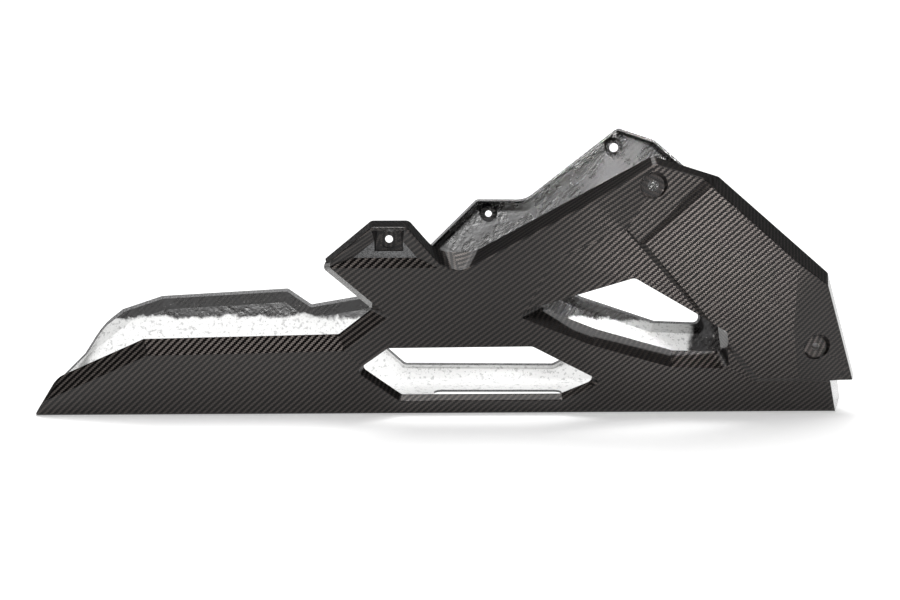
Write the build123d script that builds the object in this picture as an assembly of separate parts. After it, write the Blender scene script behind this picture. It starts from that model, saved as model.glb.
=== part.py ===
from build123d import *
import os

# Motorcycle belly pan: one laminated shell with a flat floor, two flared sides, a raked tail,
# a pointed chin and two front cheeks. X runs forward, Y to the left, Z up, in millimetres.
# The origin is on the floor, half way along. Each side is drawn in a frame of its own with Y
# outward, as points (x, z) of its side view, and the right side is mirrored into place.

# Shell
WALL = 2.0
FLOOR_HALF_WIDTH = 61.0
SIDE_FLARE = 0.41
SIDE_TOE_IN = 0.0203
CHINE_RADIUS = 5.0
RAIL_FLANGE = 11.0
TOP_FLANGE = 20.0
END_WALL_HEIGHT = 26.0
CREASE_RADIUS = 1.2
CORNER_RADIUS = 6.0

# Tail and rails
TAIL_X = -368.0
TAIL_RAKE = 0.62
TAIL_CREASE = (-350.0, 18.0)
RAIL_START = (-261.0, 60.0)
RAIL_END = (-89.0, 64.0)
TAIL_LEAN = 1.3
RAIL_LEAN = 1.3

# Chin
CHIN_X = 350.0
CHIN_RAKE = 0.29
CHIN_POINT = 0.30

# Right arm and tab
NOTCH = (-49.0, 97.0)
NOTCH_LEAN = 1.3
NOTCH_RADIUS = 4.0
ARM_TIP = (-95.0, 140.5)
ARM_LEAN = 0.6
TAB_TIP_Z = 143.0
TAB_TOP_Z = 180.0
TAB_REAR_X = (-105.0, -62.0)
TAB_FRONT_X = (-33.0, -3.0)
TAB_LEAN = 0.15
TAB_RIM = 4.0
TRAY_DEPTH = 6.0
TRAY_LEAN = 1.4
SEAT_X = (-62.0, -35.0)
SEAT_Z = (156.0, 177.0)
SEAT_DEPTH = 8.0
SEAT_LEAN = 0.25
VALLEY_Z = 140.0
VALLEY_LEAN = 0.7
VALLEY_RADIUS = 22.0

# Top edge and front edges
APEX = (170.5, 231.0)
TOP_REAR = (28.0, 148.0)
TOP_FRONT = (217.0, 216.0)
TOP_LEAN = 0.38
FRONT_SLOPE = ((224.0, 211.0), (330.0, 121.0))
FRONT_DROP = ((329.0, 117.0), (359.5, 35.0))
FRONT_SLOPE_LEAN = 0.45
FRONT_DROP_LEAN = 0.3

# Front cheek
CHEEK_RISE = 5.0
CHEEK_ROOT = 10.0
CHEEK_STEP_LEAN = -0.8
CHEEK_BASE_Z = 32.0
CHEEK_REAR = ((162.0, 165.0), (273.0, 33.0))
CHEEK_FOLD = ((197.0, 122.0), (327.0, 78.0))
CHEEK_FOLD_SINK = 3.0
CHEEK_TURN = ((285.0, 165.0), (310.0, 40.0))
CHEEK_TURN_SINK = 10.0
MOUNT_FACET_REAR = (123.0, 200.0)
MOUNT_FACET_SINK = 6.0

# Mounting holes and their dishes
TAB_HOLE_DIAMETER = 6.6
RIGHT_TAB_DISH_DIAMETER = 15.0
RIGHT_TAB_DISH_DEPTH = 2.0
LEFT_TAB_DISH_DIAMETER = 14.0
LEFT_TAB_DISH_DEPTH = 4.0
TOP_HOLE_DIAMETER = 9.0
RIGHT_TOP_DISH_DIAMETER = 23.0
RIGHT_TOP_DISH_DEPTH = 7.0
LEFT_TOP_DISH_DIAMETER = 14.0
LEFT_TOP_DISH_DEPTH = 4.0
FRONT_HOLE_DIAMETER = 6.6
FRONT_DISH_DIAMETER = 24.0
FRONT_DISH_DEPTH = 8.0
DISH_DRAFT = 0.3
DISH_CLEARANCE = 12.0
RIGHT_TOP_HOLE = (171.0, 214.5)
LEFT_TOP_HOLE = (165.5, 219.5)
FRONT_HOLE = (325.0, 65.0)
RIGHT_TAB_HOLE = (-48.4, 167.0)
LEFT_TAB_HOLE = (41.0, 156.0)

# Wedge-shaped sink in the arm behind the cheek
WEDGE_TIP = (90.0, 150.0)
WEDGE_TOP = (141.0, 174.0)
WEDGE_FOOT = (156.0, 132.0)
WEDGE_SINK = 4.0
WEDGE_END_LEAN = 0.5

# Windows
LOW_WINDOW = ((-42.0, 13.5), (103.0, 13.5), (140.0, 31.0), (75.0, 67.5), (-51.0, 66.5), (-80.0, 44.0))
LOW_WINDOW_LIP = 8.0
LOW_WINDOW_LEANS = (0.6, 0.6, 0.0, 0.0, 0.0, 0.6)
HIGH_WINDOW = ((56.0, 99.0), (126.0, 69.0), (198.0, 46.5), (250.0, 45.0), (242.0, 83.0), (160.0, 133.0))
HIGH_WINDOW_LIP = 17.0
HIGH_WINDOW_LEANS = (0.75, 0.75, 0.75, 0.2, 0.0, 0.0)
LEFT_WINDOW = ((58.0, 132.0), (88.0, 112.0), (112.0, 150.0), (66.0, 139.0))
LEFT_WINDOW_LIP = 6.0
LEFT_WINDOW_LEANS = (0.0, 0.0, 0.0, 0.0)
WINDOW_RADIUS = 6.0

# Left tail, rail, arm and tab
LEFT_TAIL = ((-352.0, 22.0), (-310.0, 54.0))
LEFT_RAIL = ((-276.0, 65.0), (-159.0, 72.0))
LEFT_KINK_END = (-135.0, 57.0)
LEFT_NOTCH = (-78.0, 66.5)
LEFT_ARM_TOP = (30.0, 168.5)
LEFT_ARM_LEAN = 0.15
LEFT_TAB_Z = 165.5
LEFT_DIP_X = 79.0
LEFT_APEX = (169.5, 232.5)
LEFT_TOP_LEAN = 0.3
LEFT_FRONT_SHIFT = -14.0

# Floor slot
SLOT_LENGTH = 120.0
SLOT_WIDTH = 38.0
SLOT_CENTRE_X = 48.0
SLOT_RADIUS = 8.0

REACH = 500.0
PANEL_NORMAL = Vector(SIDE_TOE_IN, 1, -SIDE_FLARE).normalized()


def panel_y(x, z):
    """Outward distance of the flat side panel at a point of the side view."""
    return FLOOR_HALF_WIDTH - SIDE_TOE_IN * x + SIDE_FLARE * z


def on_panel(point, depth=0.0):
    """A point of the side view as a point in space, depth behind the panel."""
    x, z = point
    return Vector(x, panel_y(x, z) - depth, z)


def panel_plane(depth=0.0):
    """The side panel, or a plane at a depth behind it, facing outward."""
    return Plane(origin=on_panel((0, 0), depth), z_dir=PANEL_NORMAL)


def edge_plane(start, end, lean=0.0, foot=None):
    """Plane through a crease of the side panel, facing the left of the way from start to end.

    It moves to the left by lean for each millimetre of depth, or passes through foot.
    """
    way = Vector(end[0] - start[0], 0, end[1] - start[1]).normalized()
    left = Vector(-way.Z, 0, way.X)
    if foot is None:
        foot = on_panel((start[0] + left.X * lean, start[1] + left.Z * lean), 1.0)
    first = on_panel(start)
    normal = (on_panel(end) - first).cross(foot - first).normalized()
    if normal.dot(left) < 0:
        normal = -normal
    return Plane(origin=first, z_dir=normal)


def facet_plane(start, end, foot):
    """Plane through a crease of the side panel and one more point, facing outward."""
    first = on_panel(start)
    normal = (on_panel(end) - first).cross(foot - first).normalized()
    if normal.Y < 0:
        normal = -normal
    return Plane(origin=first, z_dir=normal)


def flipped(plane):
    return Plane(origin=plane.origin, z_dir=-plane.z_dir)


def moved(plane, distance):
    return Plane(origin=plane.origin + plane.z_dir * distance, z_dir=plane.z_dir)


def raised(plane, rise):
    return Plane(origin=plane.origin + Vector(0, rise, 0), z_dir=plane.z_dir)


def above(z):
    return Plane(origin=(0, 0, z), z_dir=(0, 0, 1))


def behind(x):
    return Plane(origin=(x, 0, 0), z_dir=(-1, 0, 0))


def height_on(plane, point):
    """Outward distance of a facet at a point of the side view."""
    x, z = point
    n = plane.z_dir
    return plane.origin.Y - (n.X * (x - plane.origin.X) + n.Z * (z - plane.origin.Z)) / n.Y


def planes_of(edge, planes):
    """Those of the planes that an edge lies on."""
    points = [edge.position_at(t) for t in (0, 0.5, 1)]
    return [s for s in planes if all(abs((p - s.origin).dot(s.z_dir)) < 0.001 for p in points)]


def block(planes, grow=0.0, radius=0.0):
    """Convex block on the facing side of every plane, grown outward, its side edges rounded."""
    solid = Box(2 * REACH, 2 * REACH, 2 * REACH)
    sides = [moved(plane, -grow) for plane in planes]
    for side in sides:
        solid = split(solid, bisect_by=side, keep=Keep.TOP)
    if radius:
        solid = fillet([e for e in solid.edges() if len(planes_of(e, sides)) == 2], radius + grow)
    return solid


def ring(points, leans):
    """Planes of a closed outline, one for each side, facing into it."""
    ends = points[1:] + points[:1]
    return [edge_plane(a, b, lean) for a, b, lean in zip(points, ends, leans)]


SEAT_PLANE = Plane(origin=on_panel((SEAT_X[0], SEAT_Z[0]), SEAT_DEPTH), z_dir=(0, 1, 0))
MOUNT_FACET = facet_plane(MOUNT_FACET_REAR, CHEEK_REAR[0], on_panel(APEX, MOUNT_FACET_SINK))
CHEEK_PANEL = raised(panel_plane(), CHEEK_RISE)
CHEEK_UPPER = raised(
    facet_plane(*CHEEK_FOLD, on_panel(FRONT_SLOPE[0], CHEEK_FOLD_SINK)), CHEEK_RISE
)
CHEEK_FRONT = raised(
    facet_plane(*CHEEK_TURN, on_panel(FRONT_DROP[1], CHEEK_TURN_SINK)), CHEEK_RISE
)
FACES = (panel_plane(), MOUNT_FACET, CHEEK_PANEL, CHEEK_UPPER, CHEEK_FRONT)


def hull(inset):
    """Half of the plain body: floor, flared side and the sunk facet of the top mount."""
    solid = Pos(0, REACH / 2 - inset, REACH / 2 + inset) * Box(2 * REACH, REACH, REACH)
    solid = split(solid, bisect_by=moved(panel_plane(), -inset), keep=Keep.BOTTOM)
    chine = solid.edges().group_by(Axis.Z)[0].sort_by(Axis.Y)[-1]
    solid = fillet([chine], CHINE_RADIUS - inset)
    return split(solid, bisect_by=moved(MOUNT_FACET, -inset), keep=Keep.BOTTOM)


def cheek(inset):
    """Front cheek, proud of the side panel, its outer face folded in three."""
    planes = [
        flipped(CHEEK_PANEL),
        flipped(CHEEK_UPPER),
        flipped(CHEEK_FRONT),
        edge_plane(*CHEEK_REAR, CHEEK_STEP_LEAN),
        edge_plane(TOP_FRONT, CHEEK_REAR[0], CHEEK_STEP_LEAN),
        edge_plane((0, CHEEK_BASE_Z), (REACH, CHEEK_BASE_Z), CHEEK_STEP_LEAN),
        panel_plane(CHEEK_ROOT),
    ]
    return block(planes, -inset)


def tail_cuts(outline):
    """The raked tail end and the falling top edge of the tail, up to where the rail starts."""
    rake = Plane(origin=(TAIL_X, 0, 0), z_dir=(-1, 0, TAIL_RAKE))
    falls = [edge_plane(a, b, TAIL_LEAN) for a, b in zip(outline, outline[1:])]
    limit = behind(outline[-1][0] + RAIL_FLANGE)
    return [([rake], [], 0)] + [([fall], [limit], 0) for fall in falls]


def front_cuts(apex, top_lean, shift):
    """Top front edge, sloping front edge, front drop and the space under it before the chin."""
    top_end = (apex[0] + TOP_FRONT[0] - APEX[0], apex[1] + TOP_FRONT[1] - APEX[1])
    slope = [(x + shift, z) for x, z in FRONT_SLOPE]
    chin_top = (CHIN_X - CHIN_RAKE * CHEEK_BASE_Z, CHEEK_BASE_Z)
    chin = edge_plane(chin_top, (CHIN_X, 0), CHIN_POINT)
    return [
        ([edge_plane(apex, top_end, top_lean)], [], 0),
        ([edge_plane(*slope, FRONT_SLOPE_LEAN)], [], 0),
        ([edge_plane(*FRONT_DROP, FRONT_DROP_LEAN)], [], 0),
        ([chin], [flipped(above(CHEEK_BASE_Z))], 0),
    ]


def right_cuts():
    rail = edge_plane(RAIL_START, RAIL_END, RAIL_LEAN)
    riser = edge_plane(RAIL_END, NOTCH, NOTCH_LEAN)
    arm = edge_plane(NOTCH, ARM_TIP, ARM_LEAN)
    tab_rear = edge_plane((TAB_REAR_X[0], TAB_TIP_Z), (TAB_REAR_X[1], TAB_TOP_Z), TAB_LEAN)
    tab_top = edge_plane((TAB_REAR_X[1], TAB_TOP_Z), (TAB_FRONT_X[0], TAB_TOP_Z), TAB_LEAN)
    tab_front = edge_plane((TAB_FRONT_X[0], TAB_TOP_Z), (TAB_FRONT_X[1], TAB_TIP_Z), TAB_LEAN)
    valley = edge_plane((0, VALLEY_Z), (1, VALLEY_Z), VALLEY_LEAN)
    top_rear = edge_plane(TOP_REAR, APEX, TOP_LEAN)
    return tail_cuts((TAIL_CREASE, RAIL_START)) + front_cuts(APEX, TOP_LEAN, 0.0) + [
        ([rail, riser, arm], [], NOTCH_RADIUS),
        ([tab_rear], [above(TAB_TIP_Z)], 0),
        ([tab_top], [behind(TOP_REAR[0])], 0),
        ([tab_front, valley, top_rear], [], VALLEY_RADIUS),
    ]


def left_cuts():
    rail = edge_plane(*LEFT_RAIL, RAIL_LEAN)
    kink = edge_plane(LEFT_RAIL[1], LEFT_KINK_END, RAIL_LEAN)
    low_rail = edge_plane(LEFT_KINK_END, LEFT_NOTCH, RAIL_LEAN)
    riser = edge_plane(LEFT_NOTCH, LEFT_ARM_TOP, LEFT_ARM_LEAN)
    tab_top = edge_plane((0, LEFT_TAB_Z), (1, LEFT_TAB_Z), LEFT_TOP_LEAN)
    top_rear = edge_plane((LEFT_DIP_X, LEFT_TAB_Z), LEFT_APEX, LEFT_TOP_LEAN)
    tail = tail_cuts((*LEFT_TAIL, LEFT_RAIL[0]))
    return tail + front_cuts(LEFT_APEX, LEFT_TOP_LEAN, LEFT_FRONT_SHIFT) + [
        ([rail], [behind(LEFT_NOTCH[0])], 0),
        ([kink, low_rail, riser], [], NOTCH_RADIUS),
        ([tab_top, top_rear], [], VALLEY_RADIUS),
    ]


def window_cut(points, leans, lip, inset):
    """A window with a turned-in lip, which the hollow of the shell leaves standing."""
    planes = ring(points, leans)
    if inset:
        return split(block(planes, inset, WINDOW_RADIUS), bisect_by=panel_plane(lip), keep=Keep.TOP)
    return block(planes, 0, WINDOW_RADIUS)


def tab_tray(inset):
    """Tray of the right tab, sunk behind a narrow rim, with sloping sides."""
    front_top, front_foot = ((x - TAB_RIM, z) for x, z in zip(TAB_FRONT_X, (TAB_TOP_Z, TAB_TIP_Z)))
    rear_foot, rear_top = ((x + TAB_RIM, z) for x, z in zip(TAB_REAR_X, (TAB_TIP_Z, TAB_TOP_Z)))
    top_z = TAB_TOP_Z - TAB_RIM / 2
    planes = [
        edge_plane(front_foot, front_top, TRAY_LEAN),
        edge_plane((1, top_z), (0, top_z), TAB_LEAN),
        edge_plane(rear_top, rear_foot, TRAY_LEAN),
        edge_plane(rear_foot, front_foot, TRAY_LEAN),
        panel_plane(TRAY_DEPTH),
    ]
    return block(planes, inset)


def tab_seat(inset):
    """Upright square seat round the hole in the tray."""
    rear, front = SEAT_X
    foot, top = SEAT_Z
    planes = ring(((rear, foot), (front, foot), (front, top), (rear, top)), [SEAT_LEAN] * 4)
    return block(planes + [SEAT_PLANE], inset)


def wedge_sink(inset):
    """Shallow sink that starts as a crease and deepens towards the cheek."""
    sink = facet_plane(WEDGE_TIP, WEDGE_FOOT, on_panel(WEDGE_TOP, WEDGE_SINK))
    upper = edge_plane(WEDGE_TOP, WEDGE_TIP)
    end = edge_plane(CHEEK_REAR[1], CHEEK_REAR[0], WEDGE_END_LEAN)
    return block([sink, upper, end], inset)


def dish(hole, surface, diameter, depth, inset):
    """Round drafted dish along Y for a mounting hole."""
    height = depth + inset + DISH_CLEARANCE
    low = diameter / 2 - DISH_DRAFT * depth + inset
    cone = Cone(low, low + DISH_DRAFT * height, height, align=(Align.CENTER, Align.CENTER, Align.MIN))
    return Pos(hole[0], height_on(surface, hole) - depth - inset, hole[1]) * Rot(-90, 0, 0) * cone


def seat_dish(inset):
    """Straight round dish in the upright seat."""
    radius = RIGHT_TAB_DISH_DIAMETER / 2 + inset
    height = RIGHT_TAB_DISH_DEPTH + inset + SEAT_DEPTH
    disc = Cylinder(radius, height, align=(Align.CENTER, Align.CENTER, Align.MIN))
    floor_y = SEAT_PLANE.origin.Y - RIGHT_TAB_DISH_DEPTH - inset
    return Pos(RIGHT_TAB_HOLE[0], floor_y, RIGHT_TAB_HOLE[1]) * Rot(-90, 0, 0) * disc


def right_features(inset):
    return [
        tab_tray(inset),
        tab_seat(inset),
        seat_dish(inset),
        wedge_sink(inset),
        dish(RIGHT_TOP_HOLE, MOUNT_FACET, RIGHT_TOP_DISH_DIAMETER, RIGHT_TOP_DISH_DEPTH, inset),
        dish(FRONT_HOLE, CHEEK_FRONT, FRONT_DISH_DIAMETER, FRONT_DISH_DEPTH, inset),
    ]


def left_features(inset):
    return [
        dish(LEFT_TAB_HOLE, panel_plane(), LEFT_TAB_DISH_DIAMETER, LEFT_TAB_DISH_DEPTH, inset),
        dish(LEFT_TOP_HOLE, MOUNT_FACET, LEFT_TOP_DISH_DIAMETER, LEFT_TOP_DISH_DEPTH, inset),
        dish(FRONT_HOLE, CHEEK_FRONT, FRONT_DISH_DIAMETER, FRONT_DISH_DEPTH, inset),
    ]


def body(cuts, windows, inset):
    """Half of the pan as a solid form, cut to its outline and with its windows."""
    solid = hull(inset) + cheek(inset)
    for planes, limits, radius in cuts:
        solid -= block(planes + limits, inset, radius)
    for points, leans, lip in windows:
        solid -= window_cut(points, leans, lip, inset)
    return solid


def engine_space():
    """What the flanges leave open between the two sides, above the end walls."""
    between_rails = [flipped(panel_plane(RAIL_FLANGE)), edge_plane(NOTCH, ARM_TIP)]
    between_tops = [flipped(panel_plane(TOP_FLANGE))]
    return [block(planes + [above(END_WALL_HEIGHT)]) for planes in (between_rails, between_tops)]


def hole(point, diameter):
    bore = Cylinder(diameter / 2, REACH, align=(Align.CENTER, Align.CENTER, Align.MIN))
    return Pos(point[0], 0, point[1]) * Rot(-90, 0, 0) * bore


def sides_of(cuts, inset):
    return [moved(plane, -inset) for planes, limits, radius in cuts for plane in planes]


def rounded(solid, cuts, inset):
    """The form opened between its flanges, with the corners of its outline rounded."""
    for space in engine_space():
        solid -= space
    corners = [e for e in solid.edges() if len(planes_of(e, sides_of(cuts, inset))) == 2]
    return fillet(corners, CORNER_RADIUS - inset)


def softened(solid, cuts, rims):
    """The form with the creases of its outline and of its window rims rounded."""
    planes = sides_of(cuts, 0.0) + rims
    creases = [e for e in solid.edges() if planes_of(e, FACES) and planes_of(e, planes)]
    return fillet([e for e in creases if e.length > 2 * CREASE_RADIUS], CREASE_RADIUS)


def half(cuts, windows, rims, features, holes):
    """One side: rounded and softened, sunk at its features, hollowed and drilled."""
    outer = softened(rounded(body(cuts, windows, 0.0), cuts, 0.0), cuts, rims)
    inner = rounded(body(cuts, windows, WALL), cuts, WALL)
    for cutter, inner_cutter in zip(features(0.0), features(WALL)):
        outer -= cutter
        inner -= inner_cutter
    solid = outer - inner
    for point, diameter in holes:
        solid -= hole(point, diameter)
    return solid


def belly_pan():
    windows = [
        (LOW_WINDOW, LOW_WINDOW_LEANS, LOW_WINDOW_LIP),
        (HIGH_WINDOW, HIGH_WINDOW_LEANS, HIGH_WINDOW_LIP),
    ]
    left_windows = windows + [(LEFT_WINDOW, LEFT_WINDOW_LEANS, LEFT_WINDOW_LIP)]
    rims = ring(LOW_WINDOW, LOW_WINDOW_LEANS)
    left_rims = rims + ring(LEFT_WINDOW, LEFT_WINDOW_LEANS)
    front_hole = (FRONT_HOLE, FRONT_HOLE_DIAMETER)
    right_holes = [(RIGHT_TOP_HOLE, TOP_HOLE_DIAMETER), (RIGHT_TAB_HOLE, TAB_HOLE_DIAMETER), front_hole]
    left_holes = [(LEFT_TOP_HOLE, TOP_HOLE_DIAMETER), (LEFT_TAB_HOLE, TAB_HOLE_DIAMETER), front_hole]
    right = half(right_cuts(), windows, rims, right_features, right_holes)
    left = half(left_cuts(), left_windows, left_rims, left_features, left_holes)
    solid = left + mirror(right, about=Plane.XZ)
    slot = extrude(RectangleRounded(SLOT_LENGTH, SLOT_WIDTH, SLOT_RADIUS), 2 * WALL, both=True)
    return solid - Pos(SLOT_CENTRE_X, 0, 0) * slot


pan = belly_pan()
os.makedirs("parts", exist_ok=True)
export_step(pan, "parts/belly_pan.step")
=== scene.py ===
import bmesh
import bpy
import heapq
import itertools
import math
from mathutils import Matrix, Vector


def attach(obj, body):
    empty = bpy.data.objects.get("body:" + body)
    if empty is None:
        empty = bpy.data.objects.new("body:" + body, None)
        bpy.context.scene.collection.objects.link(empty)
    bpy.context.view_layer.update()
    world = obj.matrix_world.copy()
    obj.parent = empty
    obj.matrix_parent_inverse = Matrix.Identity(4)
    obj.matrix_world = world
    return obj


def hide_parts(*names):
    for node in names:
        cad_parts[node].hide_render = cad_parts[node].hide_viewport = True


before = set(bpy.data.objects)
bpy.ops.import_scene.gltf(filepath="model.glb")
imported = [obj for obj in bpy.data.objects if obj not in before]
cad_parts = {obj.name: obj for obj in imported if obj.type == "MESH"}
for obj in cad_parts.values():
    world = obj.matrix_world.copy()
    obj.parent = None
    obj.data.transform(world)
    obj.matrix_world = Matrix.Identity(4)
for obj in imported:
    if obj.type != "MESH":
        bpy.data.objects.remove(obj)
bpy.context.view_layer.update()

# A motorcycle belly pan, moulded in carbon fibre as one shell. The shell is a copy of the CAD
# solid with three finishes: clear-coated twill outside, resin and a heat-reflecting coat inside,
# and the sawn edge of the laminate. Lengths are in metres, X forward, Y left, Z up.

# Shape of the CAD solid, by which the edge of the laminate is told from its skins. A hole is given
# by X, Z and radius, the slot by two corners in X and Y, and the notch and the arm's tip by X and Z.
FLOOR_HALF_WIDTH = 0.0610
SIDE_FLARE = 0.41
SIDE_TOE_IN = 0.0203
LAMINATE_END_DEPTHS = (0.006, 0.008, 0.011, 0.017, 0.020)
END_WALL_HEIGHT = 0.026
WALL = 0.002
HOLES = (
    (0.171, 0.2145, 0.0045),
    (0.1655, 0.2195, 0.0045),
    (0.325, 0.065, 0.0033),
    (-0.0484, 0.167, 0.0033),
    (0.041, 0.156, 0.0033),
)
FLOOR_SLOT = ((-0.012, -0.019), (0.108, 0.019))
NOTCH = Vector((-0.049, 0.097))
ARM_TIP = Vector((-0.095, 0.1405))

# How near counts as touching, and which folds stay crisp
TOUCH = 0.00003
WELD = 0.000001
ACROSS = 0.05
SHARP_ANGLE = math.radians(32)
FLAT_ANGLE = math.radians(0.3)
FACET_WIDTH = 0.008
FACET_WEIGHT = 80

# Weave: width of a tow, tows in one repeat of the twill and in one float, the stretch of the fibre
# grain along and across a tow, and the name of the weave's map on the surface
TOW = 0.0015
TWILL_REPEAT = 4.0
FLOAT_TOWS = 2.0
GRAIN_ALONG = 0.4
GRAIN_ACROSS = 9.0
WEAVE_MAP = "weave"

# Pale coat inside: its top, its front end, how soft these edges are, and how far they wander
COAT_TOP = 0.058
COAT_TOP_BLUR = 0.002
COAT_FRONT = 0.236
COAT_FRONT_BLUR = 0.004
COAT_WANDER = 0.022

# Studio
FLOOR_REACH = 120.0
WHITE = (1.0, 1.0, 1.0, 1.0)

# Camera of the photograph
CAMERA_PLACE = (0.003, -1.450, 0.374)
CAMERA_PITCH = math.radians(11)
SENSOR_WIDTH = 36.0
LENS = 64.0

OUTSIDE, INSIDE, EDGE = range(3)


def panel_depth(point):
    """Depth of a point behind the flat side panel, along Y."""
    return FLOOR_HALF_WIDTH - SIDE_TOE_IN * point.x + SIDE_FLARE * point.z - abs(point.y)


def in_hole(face):
    """Whether a face is the wall of a mounting hole."""
    centre = face.calc_center_median()
    upright = abs(face.normal.y) < ACROSS
    return upright and any(math.hypot(centre.x - x, centre.z - z) < r + TOUCH for x, z, r in HOLES)


def in_slot(face):
    """Whether a face is the wall of the slot in the floor."""
    centre = face.calc_center_median()
    (x0, y0), (x1, y1) = FLOOR_SLOT
    inside = x0 - TOUCH < centre.x < x1 + TOUCH and y0 - TOUCH < centre.y < y1 + TOUCH
    return inside and 0 < centre.z < WALL and abs(face.normal.z) < ACROSS


def on_notch_line(face):
    """Whether a face is where the flange of the rail ends at the line of the arm."""
    across = (ARM_TIP - NOTCH).orthogonal().normalized()
    return all(abs((v.co.xz - NOTCH).dot(across)) < TOUCH for v in face.verts)


def is_edge(face):
    """Whether a face is the sawn edge of the laminate."""
    depths = [panel_depth(v.co) for v in face.verts]
    at_flange = any(all(abs(d - end) < TOUCH for d in depths) for end in LAMINATE_END_DEPTHS)
    at_wall_top = all(abs(v.co.z - END_WALL_HEIGHT) < TOUCH for v in face.verts)
    return at_flange or at_wall_top or in_hole(face) or in_slot(face) or on_notch_line(face)


def connected(start, allowed):
    """Faces reached from one face across edges, without leaving the allowed ones."""
    found, queue = {start}, [start]
    while queue:
        for edge in queue.pop().edges:
            for face in edge.link_faces:
                if face in allowed and face not in found:
                    found.add(face)
                    queue.append(face)
    return found


def sort_faces(bm):
    """Sets each face's material slot: outside, inside or edge of the laminate."""
    for face in bm.faces:
        face.material_index = EDGE
    skins = {face for face in bm.faces if not is_edge(face)}
    floor = [f for f in skins if f.normal.z < -0.99 and f.calc_center_median().z < TOUCH]
    outside = connected(max(floor, key=lambda face: face.calc_area()), skins)
    for face in skins:
        face.material_index = OUTSIDE if face in outside else INSIDE


def facet_widths(bm):
    """Width of the flat facet that each face is part of."""
    width = {}
    for start in bm.faces:
        if start in width:
            continue
        facet, queue, rim = {start}, [start], 0.0
        while queue:
            for edge in queue.pop().edges:
                flat = edge.calc_face_angle() < FLAT_ANGLE
                rim += 0.0 if flat else edge.calc_length()
                joined = [f for f in edge.link_faces if flat and f not in facet]
                facet.update(joined)
                queue.extend(joined)
        size = 2 * sum(face.calc_area() for face in facet) / max(rim, WELD)
        width.update(dict.fromkeys(facet, size))
    return width


def mark_creases(bm):
    """Keeps sharp folds and the shallow folds between wide facets crisp, and the rest smooth."""
    width = facet_widths(bm)
    for edge in bm.edges:
        angle = edge.calc_face_angle()
        wide = min(width[face] for face in edge.link_faces) > FACET_WIDTH
        edge.smooth = not (angle > SHARP_ANGLE or wide and angle > FLAT_ANGLE)


def lay_first(face, layer):
    """Lays a face on the weave map with its tows along and across the shell's length."""
    length_way = Vector((1, 0, 0)) if abs(face.normal.x) < 0.9 else Vector((0, 1, 0))
    up = face.normal.cross(length_way).normalized()
    across = up.cross(face.normal)
    for loop in face.loops:
        loop[layer].uv = (loop.vert.co.dot(across), loop.vert.co.dot(up))


def lay_next(loop, layer):
    """Lays the face of a loop next to the laid one across the loop's edge, without stretch."""
    laid = loop.link_loop_radial_next
    start, end = laid.link_loop_next[layer].uv.copy(), laid[layer].uv.copy()
    along = loop.link_loop_next.vert.co - loop.vert.co
    length = along.length
    along /= length
    flat = (end - start).normalized()
    side = Vector((-flat.y, flat.x))
    for corner in loop.face.loops:
        offset = corner.vert.co - loop.vert.co
        run = offset.dot(along)
        rise = (offset - along * run).length
        corner[layer].uv = start + flat * run + side * rise


def unfold(bm):
    """Unfolds the skins over their longest edges, so the weave runs on across the creases."""
    layer = bm.loops.layers.uv.new(WEAVE_MAP)
    waiting = set(bm.faces)
    order = itertools.count()
    for first in sorted(bm.faces, key=lambda face: -face.calc_area()):
        if first not in waiting:
            continue
        waiting.remove(first)
        lay_first(first, layer)
        queue = []
        newest = first
        while newest:
            for loop in newest.loops:
                heapq.heappush(queue, (-loop.edge.calc_length(), next(order), loop))
            newest = None
            while queue and not newest:
                other = heapq.heappop(queue)[2].link_loop_radial_next
                same = other.face.material_index == first.material_index
                if same and other.face in waiting:
                    lay_next(other, layer)
                    newest = other.face
                    waiting.remove(newest)


def new_material(name):
    """A material with its Principled shader, and its node tree."""
    material = bpy.data.materials.new(name)
    material.use_nodes = True
    return material, material.node_tree, material.node_tree.nodes["Principled BSDF"]


def feed(tree, target, value):
    """Links a socket to a target, or sets the target's constant."""
    if isinstance(value, bpy.types.NodeSocket):
        tree.links.new(value, target)
    else:
        target.default_value = value


def math_node(tree, operation, a, b=0.0):
    """Result of an operation on one or two numbers."""
    node = tree.nodes.new("ShaderNodeMath")
    node.operation = operation
    feed(tree, node.inputs[0], a)
    feed(tree, node.inputs[1], b)
    return node.outputs[0]


def grey(value):
    """An opaque grey."""
    return value, value, value, 1.0


def choose(tree, factor, a, b):
    """Number a where the factor is 0, b where it is 1."""
    node = tree.nodes.new("ShaderNodeMix")
    feed(tree, node.inputs["Factor"], factor)
    feed(tree, node.inputs["A"], a)
    feed(tree, node.inputs["B"], b)
    return node.outputs["Result"]


def choose_colour(tree, factor, a, b):
    """Colour a where the factor is 0, b where it is 1."""
    node = tree.nodes.new("ShaderNodeMix")
    node.data_type = "RGBA"
    feed(tree, node.inputs[0], factor)
    feed(tree, node.inputs[6], a)
    feed(tree, node.inputs[7], b)
    return node.outputs[2]


def ramp(tree, value, low, high, start=0.0, end=1.0):
    """A smooth step from start to end as the value goes from low to high."""
    node = tree.nodes.new("ShaderNodeMapRange")
    node.interpolation_type = "SMOOTHSTEP"
    for socket, number in zip(node.inputs, (value, low, high, start, end)):
        feed(tree, socket, number)
    return node.outputs[0]


def noise(tree, place, scale, detail=2.0, rough=0.5):
    """Smooth random values around a half."""
    node = tree.nodes.new("ShaderNodeTexNoise")
    feed(tree, node.inputs["Vector"], place)
    node.inputs["Scale"].default_value = scale
    node.inputs["Detail"].default_value = detail
    node.inputs["Roughness"].default_value = rough
    return node.outputs["Fac"]


def combine(tree, x, y, z=0.0):
    """A vector of three numbers."""
    node = tree.nodes.new("ShaderNodeCombineXYZ")
    for socket, value in zip(node.inputs, (x, y, z)):
        feed(tree, socket, value)
    return node.outputs[0]


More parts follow.
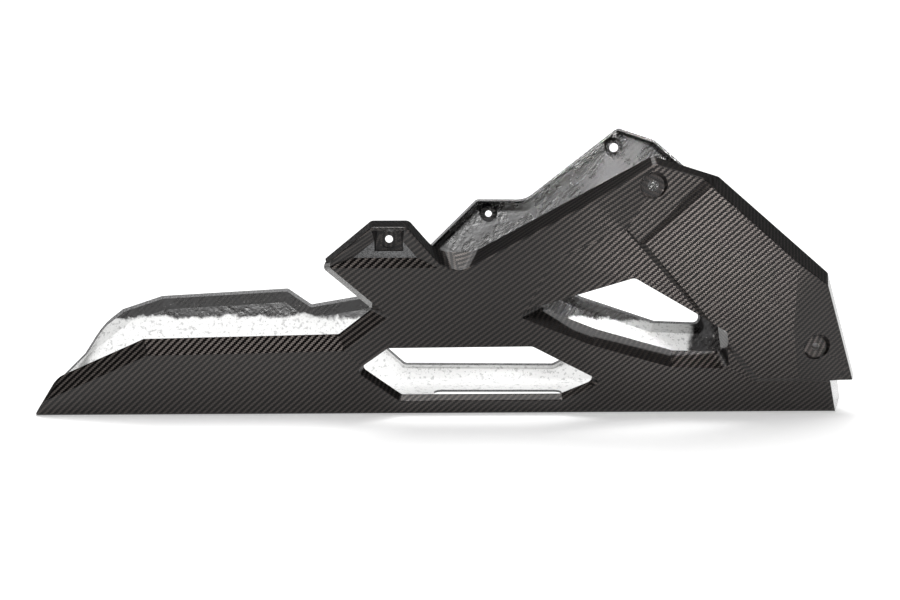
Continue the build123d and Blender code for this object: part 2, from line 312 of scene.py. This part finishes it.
def bump(tree, height, distance, strength):
    """The surface's normal, tilted by a fine relief."""
    node = tree.nodes.new("ShaderNodeBump")
    node.inputs["Distance"].default_value = distance
    node.inputs["Strength"].default_value = strength
    feed(tree, node.inputs["Height"], height)
    return node.outputs[0]


def weave_places(tree):
    """Across and up places on the weave map, counted in tows."""
    uv = tree.nodes.new("ShaderNodeUVMap")
    uv.uv_map = WEAVE_MAP
    split = tree.nodes.new("ShaderNodeSeparateXYZ")
    feed(tree, split.inputs[0], uv.outputs[0])
    return [math_node(tree, "DIVIDE", split.outputs[i], TOW) for i in range(2)]


def choose_vector(tree, factor, a, b):
    """Vector a where the factor is 0, b where it is 1."""
    node = tree.nodes.new("ShaderNodeMix")
    node.data_type = "VECTOR"
    feed(tree, node.inputs[0], factor)
    feed(tree, node.inputs[4], a)
    feed(tree, node.inputs[5], b)
    return node.outputs[1]


def half_wave(tree, value):
    """Rises from 0 to 1 and falls back as the value goes from 0 to 1."""
    return math_node(tree, "SINE", math_node(tree, "MULTIPLY", value, math.pi))


def twill(tree):
    """Two-by-two twill: where the upright tows lie on top, the tows' height and their fibre grain."""
    u, v = weave_places(tree)
    column, row = math_node(tree, "FLOOR", u), math_node(tree, "FLOOR", v)
    in_u, in_v = math_node(tree, "FRACT", u), math_node(tree, "FRACT", v)
    step = math_node(tree, "FLOORED_MODULO", math_node(tree, "SUBTRACT", column, row), TWILL_REPEAT)
    upright = math_node(tree, "LESS_THAN", step, FLOAT_TOWS - 0.5)
    level_run = math_node(tree, "ADD", math_node(tree, "SUBTRACT", step, FLOAT_TOWS), in_u)
    upright_run = math_node(tree, "ADD", math_node(tree, "SUBTRACT", FLOAT_TOWS - 1, step), in_v)
    run = math_node(tree, "DIVIDE", choose(tree, upright, level_run, upright_run), FLOAT_TOWS)
    crown = half_wave(tree, choose(tree, upright, in_v, in_u))
    height = math_node(tree, "ADD", math_node(tree, "POWER", crown, 0.5), half_wave(tree, run))
    long_u, long_v = (math_node(tree, "MULTIPLY", place, GRAIN_ALONG) for place in (u, v))
    fine_u, fine_v = (math_node(tree, "MULTIPLY", place, GRAIN_ACROSS) for place in (u, v))
    level_grain, upright_grain = combine(tree, long_u, fine_v), combine(tree, fine_u, long_v)
    fibre = noise(tree, choose_vector(tree, upright, level_grain, upright_grain), 1.0)
    return upright, height, fibre


def spread_way(tree, upright):
    """Direction across the fibres on top, along which their shine spreads."""
    tangent = tree.nodes.new("ShaderNodeTangent")
    tangent.direction_type = "UV_MAP"
    tangent.uv_map = WEAVE_MAP
    geometry = tree.nodes.new("ShaderNodeNewGeometry")
    turned = tree.nodes.new("ShaderNodeVectorMath")
    turned.operation = "CROSS_PRODUCT"
    feed(tree, turned.inputs[0], geometry.outputs["Normal"])
    feed(tree, turned.inputs[1], tangent.outputs[0])
    return choose_vector(tree, upright, turned.outputs[0], tangent.outputs[0])


def carbon_twill():
    """Clear-coated twill: the shine of each tow spreads across its fibres, under a smooth coat. The
    tows' base colours carry painted sheen and shade.
    """
    material, tree, shader = new_material("carbon_twill")
    upright, height, fibre = twill(tree)
    # Painted sheen and shade: the level tows are lit lighter and the upright tows shaded darker in
    # base colour, though both are the same black fibre.
    level_tow_painted_sheen = (0.076, 0.066, 0.061, 1.0)
    upright_tow_painted_shade = (0.014, 0.013, 0.013, 1.0)
    # Painted shade: near black where the weave's relief is low, in the hollows between and under the
    # tows.
    streak, gap_painted_shade = grey(0.008), grey(0.004)
    colour = choose_colour(tree, upright, level_tow_painted_sheen, upright_tow_painted_shade)
    colour = choose_colour(tree, ramp(tree, fibre, 0.35, 0.70, 0.0, 0.6), colour, streak)
    colour = choose_colour(tree, ramp(tree, height, 0.4, 1.5), gap_painted_shade, colour)
    feed(tree, shader.inputs["Base Color"], colour)
    shader.inputs["Metallic"].default_value = 1.0
    feed(tree, shader.inputs["Roughness"], ramp(tree, fibre, 0.2, 0.8, 0.40, 0.48))
    shader.inputs["Anisotropic"].default_value = 0.95
    feed(tree, shader.inputs["Tangent"], spread_way(tree, upright))
    feed(tree, shader.inputs["Normal"], bump(tree, height, 0.00006, 0.6))
    shader.inputs["Coat Weight"].default_value = 1.0
    shader.inputs["Coat Roughness"].default_value = 0.05
    shader.inputs["Coat IOR"].default_value = 1.30
    return material


def object_place(tree):
    """Place on the shell, in its own axes."""
    return tree.nodes.new("ShaderNodeTexCoord").outputs["Object"]


def coat_cover(tree, place):
    """1 where the pale coat lies, 0 above its ragged top and ahead of its front end."""
    split = tree.nodes.new("ShaderNodeSeparateXYZ")
    feed(tree, split.inputs[0], place)
    ragged = math_node(tree, "SUBTRACT", noise(tree, place, 55.0, 5.0, 0.65), 0.5)
    wander = math_node(tree, "MULTIPLY", ragged, COAT_WANDER)
    level = math_node(tree, "ADD", split.outputs[2], wander)
    ahead = math_node(tree, "ADD", split.outputs[0], wander)
    below = ramp(tree, level, COAT_TOP + COAT_TOP_BLUR, COAT_TOP - COAT_TOP_BLUR)
    behind = ramp(tree, ahead, COAT_FRONT + COAT_FRONT_BLUR, COAT_FRONT - COAT_FRONT_BLUR)
    return math_node(tree, "MULTIPLY", below, behind)


def lined_inside():
    """Inside of the shell: blotched resin over the weave, and a rough pale coat on the lower part."""
    material, tree, shader = new_material("lined_inside")
    place = object_place(tree)
    coated = coat_cover(tree, place)
    blotch = noise(tree, place, 42.0, 5.0, 0.6)
    fleck = noise(tree, place, 260.0, 3.0, 0.6)
    speck = noise(tree, place, 620.0, 2.0, 0.6)
    rust = noise(tree, place, 26.0, 3.0, 0.55)
    upright = twill(tree)[0]
    # Painted sheen and shade: under the resin the level tows are lit lighter and the upright tows
    # shaded darker in base colour.
    level_tow_painted_sheen, upright_tow_painted_shade = (0.030, 0.028, 0.027, 1.0), grey(0.004)
    thick_resin = (0.030, 0.029, 0.030, 1.0)
    white_fleck = (0.20, 0.19, 0.185, 1.0)
    red_brown = (0.23, 0.075, 0.045, 1.0)
    resin = choose_colour(tree, upright, level_tow_painted_sheen, upright_tow_painted_shade)
    resin = choose_colour(tree, ramp(tree, blotch, 0.46, 0.66), resin, thick_resin)
    resin = choose_colour(tree, ramp(tree, fleck, 0.66, 0.74), resin, white_fleck)
    resin = choose_colour(tree, ramp(tree, rust, 0.70, 0.76), resin, red_brown)
    thin_coat, full_coat = grey(0.46), (0.74, 0.74, 0.735, 1.0)
    dark_speck = grey(0.30)
    pale = choose_colour(tree, ramp(tree, fleck, 0.34, 0.46), thin_coat, full_coat)
    pale = choose_colour(tree, ramp(tree, speck, 0.28, 0.36), dark_speck, pale)
    feed(tree, shader.inputs["Base Color"], choose_colour(tree, coated, resin, pale))
    resin_roughness = ramp(tree, blotch, 0.3, 0.7, 0.18, 0.36)
    coat_roughness = 0.55
    feed(tree, shader.inputs["Roughness"], choose(tree, coated, resin_roughness, coat_roughness))
    relief = math_node(tree, "ADD", fleck, math_node(tree, "MULTIPLY", blotch, 2.0))
    feed(tree, shader.inputs["Normal"], bump(tree, relief, 0.0005, 0.7))
    return material


def sawn_edge():
    """Sawn and sealed edge of the laminate: grey resin with the fibre ends showing."""
    material, tree, shader = new_material("sawn_edge")
    grain = noise(tree, object_place(tree), 900.0, 3.0, 0.6)
    fibre_end, sealed = grey(0.02), (0.15, 0.15, 0.153, 1.0)
    colour = choose_colour(tree, ramp(tree, grain, 0.35, 0.65), fibre_end, sealed)
    feed(tree, shader.inputs["Base Color"], colour)
    feed(tree, shader.inputs["Roughness"], ramp(tree, grain, 0.3, 0.7, 0.28, 0.5))
    feed(tree, shader.inputs["Normal"], bump(tree, grain, 0.0001, 0.5))
    return material


def pan_shell():
    """The shell as one mesh with its three finishes."""
    bm = bmesh.new()
    bm.from_mesh(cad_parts["belly_pan"].data)
    bmesh.ops.remove_doubles(bm, verts=bm.verts, dist=WELD)
    for old in list(bm.loops.layers.uv.values()):
        bm.loops.layers.uv.remove(old)
    sort_faces(bm)
    unfold(bm)
    mark_creases(bm)
    mesh = bpy.data.meshes.new("pan_shell")
    bm.to_mesh(mesh)
    bm.free()
    for material in (carbon_twill(), lined_inside(), sawn_edge()):
        mesh.materials.append(material)
    mesh.polygons.foreach_set("use_smooth", [True] * len(mesh.polygons))
    shell = bpy.data.objects.new("pan_shell", mesh)
    bpy.context.scene.collection.objects.link(shell)
    weighted = shell.modifiers.new("weighted", "WEIGHTED_NORMAL")
    weighted.keep_sharp = True
    weighted.weight = FACET_WEIGHT
    return shell


def studio_floor():
    """A pale floor that glows a little, so that the shell's shadow on it stays light."""
    mesh = bpy.data.meshes.new("studio_floor")
    reach = FLOOR_REACH
    corners = [(-reach, -reach, 0), (reach, -reach, 0), (reach, reach, 0), (-reach, reach, 0)]
    mesh.from_pydata(corners, [], [(0, 1, 2, 3)])
    material, _, shader = new_material("studio_floor")
    shader.inputs["Base Color"].default_value = grey(0.9)
    shader.inputs["Roughness"].default_value = 0.9
    shader.inputs["Specular IOR Level"].default_value = 0.0
    shader.inputs["Emission Color"].default_value = WHITE
    shader.inputs["Emission Strength"].default_value = 0.48
    mesh.materials.append(material)
    floor = bpy.data.objects.new("studio_floor", mesh)
    bpy.context.scene.collection.objects.link(floor)


def softbox(name, place, target, size, power, spread=math.pi, flagged_to=None):
    """A rectangular softbox that faces the target, flagged off all but one object if so asked."""
    light = bpy.data.lights.new(name, "AREA")
    light.shape = "RECTANGLE"
    light.size, light.size_y = size
    light.energy = power
    light.spread = spread
    lamp = bpy.data.objects.new(name, light)
    lamp.location = place
    lamp.rotation_euler = (Vector(target) - Vector(place)).to_track_quat("-Z", "Y").to_euler()
    bpy.context.scene.collection.objects.link(lamp)
    if flagged_to:
        lit = bpy.data.collections.new(name + "_lit")
        lit.objects.link(flagged_to)
        lamp.light_linking.receiver_collection = lit


def sky_light(name, strength, spread):
    """Even light from straight above, as from a large ceiling diffuser."""
    light = bpy.data.lights.new(name, "SUN")
    light.energy = strength
    light.angle = spread
    lamp = bpy.data.objects.new(name, light)
    lamp.location = (0, 0, 3)
    bpy.context.scene.collection.objects.link(lamp)


def light_studio(shell):
    """Dark room with a ceiling diffuser, a softbox above, and four that light only the shell."""
    world = bpy.data.worlds.new("studio")
    world.use_nodes = True
    background = world.node_tree.nodes["Background"]
    background.inputs["Color"].default_value = WHITE
    background.inputs["Strength"].default_value = 0.06
    bpy.context.scene.world = world
    sky_light("ceiling", 2.0, math.radians(50))
    softbox("top_box", (-0.2, 0.5, 1.6), (0, 0, 0.1), (1.6, 0.5), 8)
    cheek, rail = (0.265, -0.13, 0.22), (-0.15, -0.1, 0.08)
    tail, window = (-0.2, -0.1, 0.07), (0.18, -0.08, 0.08)
    narrow = math.radians(8)
    softbox("cheek_box", (0.52, -1.50, 0.60), cheek, (0.25, 0.25), 0.4, narrow, shell)
    softbox("rail_box", (-0.33, -1.20, 1.40), rail, (0.7, 0.3), 24, flagged_to=shell)
    softbox("left_box", (-1.31, -0.96, 0.95), tail, (0.5, 0.4), 6, flagged_to=shell)
    softbox("right_box", (1.05, -0.45, 1.20), window, (0.5, 0.5), 4, flagged_to=shell)


def place_camera():
    """The photograph's camera."""
    camera = bpy.data.cameras.new("camera")
    camera.sensor_width = SENSOR_WIDTH
    camera.lens = LENS
    eye = bpy.data.objects.new("camera", camera)
    eye.location = CAMERA_PLACE
    eye.rotation_euler = (math.pi / 2 - CAMERA_PITCH, 0, 0)
    bpy.context.scene.collection.objects.link(eye)
    bpy.context.scene.camera = eye


shell = pan_shell()
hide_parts("belly_pan")
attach(shell, "root")
studio_floor()
light_studio(shell)
place_camera()
bpy.context.scene.view_settings.view_transform = "Standard"
